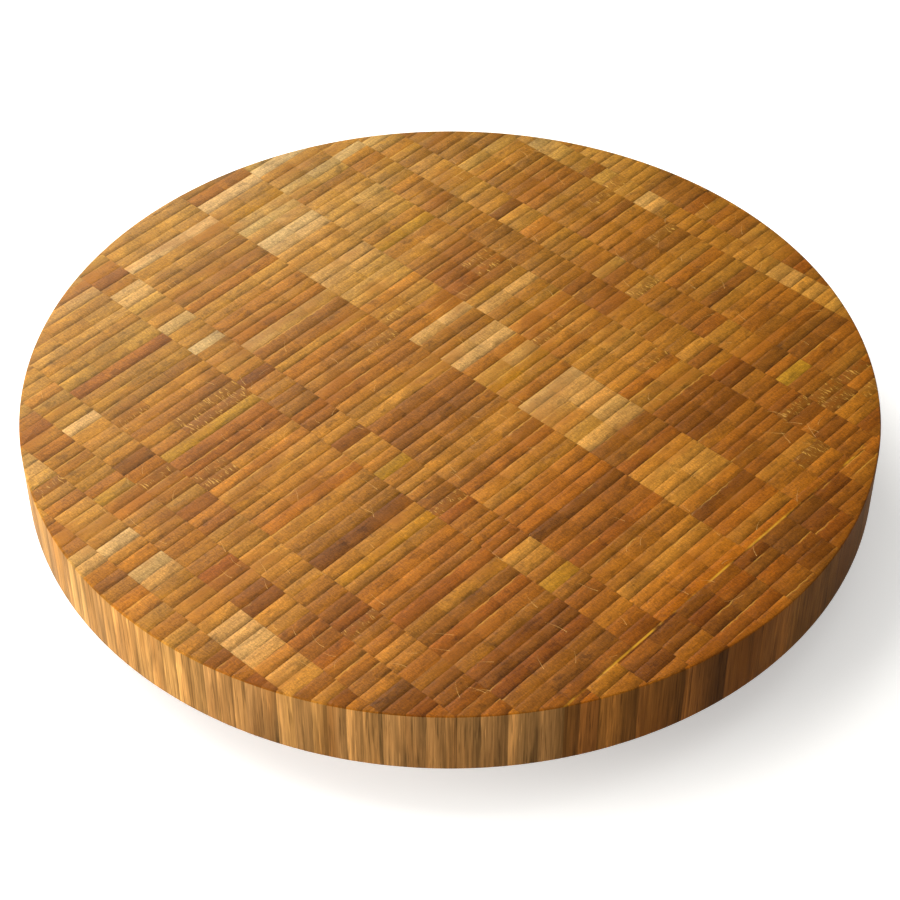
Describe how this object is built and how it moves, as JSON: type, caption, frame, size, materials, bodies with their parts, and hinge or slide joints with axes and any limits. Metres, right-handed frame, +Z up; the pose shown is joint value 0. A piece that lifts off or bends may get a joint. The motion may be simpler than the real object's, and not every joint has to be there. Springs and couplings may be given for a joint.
{
  "type": "lazy susan turntable",
  "caption": "Round end-grain bamboo turntable that spins on an aluminium ring bearing with caged steel balls, screwed to a bamboo base ring on rubber feet.",
  "frame": {"origin": "on the spin axis, level with the soles of the rubber feet", "axes": "+Z up along the spin axis; +X along the wide side of the bamboo strips that show in the top, +Y across them"},
  "size_m": [0.406, 0.406, 0.0683],
  "materials": {
    "end_grain_bamboo": "satin oiled end-grain bamboo, strips of mixed caramel tones",
    "plied_bamboo": "satin oiled three-ply bamboo",
    "ring_aluminium": "turned, clear anodised",
    "ball_steel": "polished bearing steel",
    "screw_steel": "bright zinc-plated steel",
    "cage_nylon": "natural moulded nylon",
    "foot_rubber": "matt black moulded rubber"
  },
  "bodies": {
    "base": {"base_ring": "plied_bamboo", "bearing_outer_ring": "ring_aluminium", "base_screw_1": "screw_steel", "base_screw_2": "screw_steel", "base_screw_3": "screw_steel", "base_screw_4": "screw_steel", "base_screw_5": "screw_steel", "base_screw_6": "screw_steel", "base_screw_7": "screw_steel", "base_screw_8": "screw_steel", "foot_1": "foot_rubber", "foot_2": "foot_rubber", "foot_3": "foot_rubber", "foot_4": "foot_rubber", "foot_washer_1": "screw_steel", "foot_washer_2": "screw_steel", "foot_washer_3": "screw_steel", "foot_washer_4": "screw_steel", "foot_screw_1": "screw_steel", "foot_screw_2": "screw_steel", "foot_screw_3": "screw_steel", "foot_screw_4": "screw_steel"},
    "turntable": {"turntable_top": "end_grain_bamboo", "bearing_inner_ring": "ring_aluminium", "top_screw_1": "screw_steel", "top_screw_2": "screw_steel", "top_screw_3": "screw_steel", "top_screw_4": "screw_steel", "top_screw_5": "screw_steel", "top_screw_6": "screw_steel", "top_screw_7": "screw_steel", "top_screw_8": "screw_steel"},
    "ball_row": {"ball_cage": "cage_nylon"},
    "ball_01": {"bearing_ball_01": "ball_steel"},
    "ball_02": {"bearing_ball_02": "ball_steel"},
    "ball_03": {"bearing_ball_03": "ball_steel"},
    "ball_04": {"bearing_ball_04": "ball_steel"},
    "ball_05": {"bearing_ball_05": "ball_steel"},
    "ball_06": {"bearing_ball_06": "ball_steel"},
    "ball_07": {"bearing_ball_07": "ball_steel"},
    "ball_08": {"bearing_ball_08": "ball_steel"},
    "ball_09": {"bearing_ball_09": "ball_steel"},
    "ball_10": {"bearing_ball_10": "ball_steel"},
    "ball_11": {"bearing_ball_11": "ball_steel"},
    "ball_12": {"bearing_ball_12": "ball_steel"},
    "ball_13": {"bearing_ball_13": "ball_steel"},
    "ball_14": {"bearing_ball_14": "ball_steel"},
    "ball_15": {"bearing_ball_15": "ball_steel"},
    "ball_16": {"bearing_ball_16": "ball_steel"},
    "ball_17": {"bearing_ball_17": "ball_steel"},
    "ball_18": {"bearing_ball_18": "ball_steel"},
    "ball_19": {"bearing_ball_19": "ball_steel"},
    "ball_20": {"bearing_ball_20": "ball_steel"},
    "ball_21": {"bearing_ball_21": "ball_steel"},
    "ball_22": {"bearing_ball_22": "ball_steel"},
    "ball_23": {"bearing_ball_23": "ball_steel"},
    "ball_24": {"bearing_ball_24": "ball_steel"}
  },
  "joints": [
    {"name": "turntable_spin", "type": "hinge", "parent": "base", "child": "turntable", "pos_m": [0, 0, 0.02832], "axis": [0, 0, 1], "continuous": true},
    {"name": "cage_orbit", "type": "hinge", "parent": "base", "child": "ball_row", "pos_m": [0, 0, 0.02832], "axis": [0, 0, 1], "continuous": true},
    {"name": "ball_01_roll", "type": "hinge", "parent": "ball_row", "child": "ball_01", "pos_m": [0.0975, 0, 0.02832], "axis": [0.7071, 0, 0.7071], "continuous": true},
    {"name": "ball_02_roll", "type": "hinge", "parent": "ball_row", "child": "ball_02", "pos_m": [0.09418, 0.02523, 0.02832], "axis": [0.683, 0.183, 0.7071], "continuous": true},
    {"name": "ball_03_roll", "type": "hinge", "parent": "ball_row", "child": "ball_03", "pos_m": [0.08444, 0.04875, 0.02832], "axis": [0.6124, 0.3536, 0.7071], "continuous": true},
    {"name": "ball_04_roll", "type": "hinge", "parent": "ball_row", "child": "ball_04", "pos_m": [0.06894, 0.06894, 0.02832], "axis": [0.5, 0.5, 0.7071], "continuous": true},
    {"name": "ball_05_roll", "type": "hinge", "parent": "ball_row", "child": "ball_05", "pos_m": [0.04875, 0.08444, 0.02832], "axis": [0.3536, 0.6124, 0.7071], "continuous": true},
    {"name": "ball_06_roll", "type": "hinge", "parent": "ball_row", "child": "ball_06", "pos_m": [0.02523, 0.09418, 0.02832], "axis": [0.183, 0.683, 0.7071], "continuous": true},
    {"name": "ball_07_roll", "type": "hinge", "parent": "ball_row", "child": "ball_07", "pos_m": [0, 0.0975, 0.02832], "axis": [0, 0.7071, 0.7071], "continuous": true},
    {"name": "ball_08_roll", "type": "hinge", "parent": "ball_row", "child": "ball_08", "pos_m": [-0.02523, 0.09418, 0.02832], "axis": [-0.183, 0.683, 0.7071], "continuous": true},
    {"name": "ball_09_roll", "type": "hinge", "parent": "ball_row", "child": "ball_09", "pos_m": [-0.04875, 0.08444, 0.02832], "axis": [-0.3536, 0.6124, 0.7071], "continuous": true},
    {"name": "ball_10_roll", "type": "hinge", "parent": "ball_row", "child": "ball_10", "pos_m": [-0.06894, 0.06894, 0.02832], "axis": [-0.5, 0.5, 0.7071], "continuous": true},
    {"name": "ball_11_roll", "type": "hinge", "parent": "ball_row", "child": "ball_11", "pos_m": [-0.08444, 0.04875, 0.02832], "axis": [-0.6124, 0.3536, 0.7071], "continuous": true},
    {"name": "ball_12_roll", "type": "hinge", "parent": "ball_row", "child": "ball_12", "pos_m": [-0.09418, 0.02523, 0.02832], "axis": [-0.683, 0.183, 0.7071], "continuous": true},
    {"name": "ball_13_roll", "type": "hinge", "parent": "ball_row", "child": "ball_13", "pos_m": [-0.0975, 0, 0.02832], "axis": [-0.7071, 0, 0.7071], "continuous": true},
    {"name": "ball_14_roll", "type": "hinge", "parent": "ball_row", "child": "ball_14", "pos_m": [-0.09418, -0.02523, 0.02832], "axis": [-0.683, -0.183, 0.7071], "continuous": true},
    {"name": "ball_15_roll", "type": "hinge", "parent": "ball_row", "child": "ball_15", "pos_m": [-0.08444, -0.04875, 0.02832], "axis": [-0.6124, -0.3536, 0.7071], "continuous": true},
    {"name": "ball_16_roll", "type": "hinge", "parent": "ball_row", "child": "ball_16", "pos_m": [-0.06894, -0.06894, 0.02832], "axis": [-0.5, -0.5, 0.7071], "continuous": true},
    {"name": "ball_17_roll", "type": "hinge", "parent": "ball_row", "child": "ball_17", "pos_m": [-0.04875, -0.08444, 0.02832], "axis": [-0.3536, -0.6124, 0.7071], "continuous": true},
    {"name": "ball_18_roll", "type": "hinge", "parent": "ball_row", "child": "ball_18", "pos_m": [-0.02523, -0.09418, 0.02832], "axis": [-0.183, -0.683, 0.7071], "continuous": true},
    {"name": "ball_19_roll", "type": "hinge", "parent": "ball_row", "child": "ball_19", "pos_m": [0, -0.0975, 0.02832], "axis": [0, -0.7071, 0.7071], "continuous": true},
    {"name": "ball_20_roll", "type": "hinge", "parent": "ball_row", "child": "ball_20", "pos_m": [0.02523, -0.09418, 0.02832], "axis": [0.183, -0.683, 0.7071], "continuous": true},
    {"name": "ball_21_roll", "type": "hinge", "parent": "ball_row", "child": "ball_21", "pos_m": [0.04875, -0.08444, 0.02832], "axis": [0.3536, -0.6124, 0.7071], "continuous": true},
    {"name": "ball_22_roll", "type": "hinge", "parent": "ball_row", "child": "ball_22", "pos_m": [0.06894, -0.06894, 0.02832], "axis": [0.5, -0.5, 0.7071], "continuous": true},
    {"name": "ball_23_roll", "type": "hinge", "parent": "ball_row", "child": "ball_23", "pos_m": [0.08444, -0.04875, 0.02832], "axis": [0.6124, -0.3536, 0.7071], "continuous": true},
    {"name": "ball_24_roll", "type": "hinge", "parent": "ball_row", "child": "ball_24", "pos_m": [0.09418, -0.02523, 0.02832], "axis": [0.683, -0.183, 0.7071], "continuous": true}
  ],
  "couplings": [
    {"joint": "cage_orbit", "follows": "turntable_spin", "ratio": 0.49136},
    {"joint": "ball_01_roll", "follows": "turntable_spin", "ratio": -20.466},
    {"joint": "ball_02_roll", "follows": "turntable_spin", "ratio": -20.466},
    {"joint": "ball_03_roll", "follows": "turntable_spin", "ratio": -20.466},
    {"joint": "ball_04_roll", "follows": "turntable_spin", "ratio": -20.466},
    {"joint": "ball_05_roll", "follows": "turntable_spin", "ratio": -20.466},
    {"joint": "ball_06_roll", "follows": "turntable_spin", "ratio": -20.466},
    {"joint": "ball_07_roll", "follows": "turntable_spin", "ratio": -20.466},
    {"joint": "ball_08_roll", "follows": "turntable_spin", "ratio": -20.466},
    {"joint": "ball_09_roll", "follows": "turntable_spin", "ratio": -20.466},
    {"joint": "ball_10_roll", "follows": "turntable_spin", "ratio": -20.466},
    {"joint": "ball_11_roll", "follows": "turntable_spin", "ratio": -20.466},
    {"joint": "ball_12_roll", "follows": "turntable_spin", "ratio": -20.466},
    {"joint": "ball_13_roll", "follows": "turntable_spin", "ratio": -20.466},
    {"joint": "ball_14_roll", "follows": "turntable_spin", "ratio": -20.466},
    {"joint": "ball_15_roll", "follows": "turntable_spin", "ratio": -20.466},
    {"joint": "ball_16_roll", "follows": "turntable_spin", "ratio": -20.466},
    {"joint": "ball_17_roll", "follows": "turntable_spin", "ratio": -20.466},
    {"joint": "ball_18_roll", "follows": "turntable_spin", "ratio": -20.466},
    {"joint": "ball_19_roll", "follows": "turntable_spin", "ratio": -20.466},
    {"joint": "ball_20_roll", "follows": "turntable_spin", "ratio": -20.466},
    {"joint": "ball_21_roll", "follows": "turntable_spin", "ratio": -20.466},
    {"joint": "ball_22_roll", "follows": "turntable_spin", "ratio": -20.466},
    {"joint": "ball_23_roll", "follows": "turntable_spin", "ratio": -20.466},
    {"joint": "ball_24_roll", "follows": "turntable_spin", "ratio": -20.466}
  ]
}
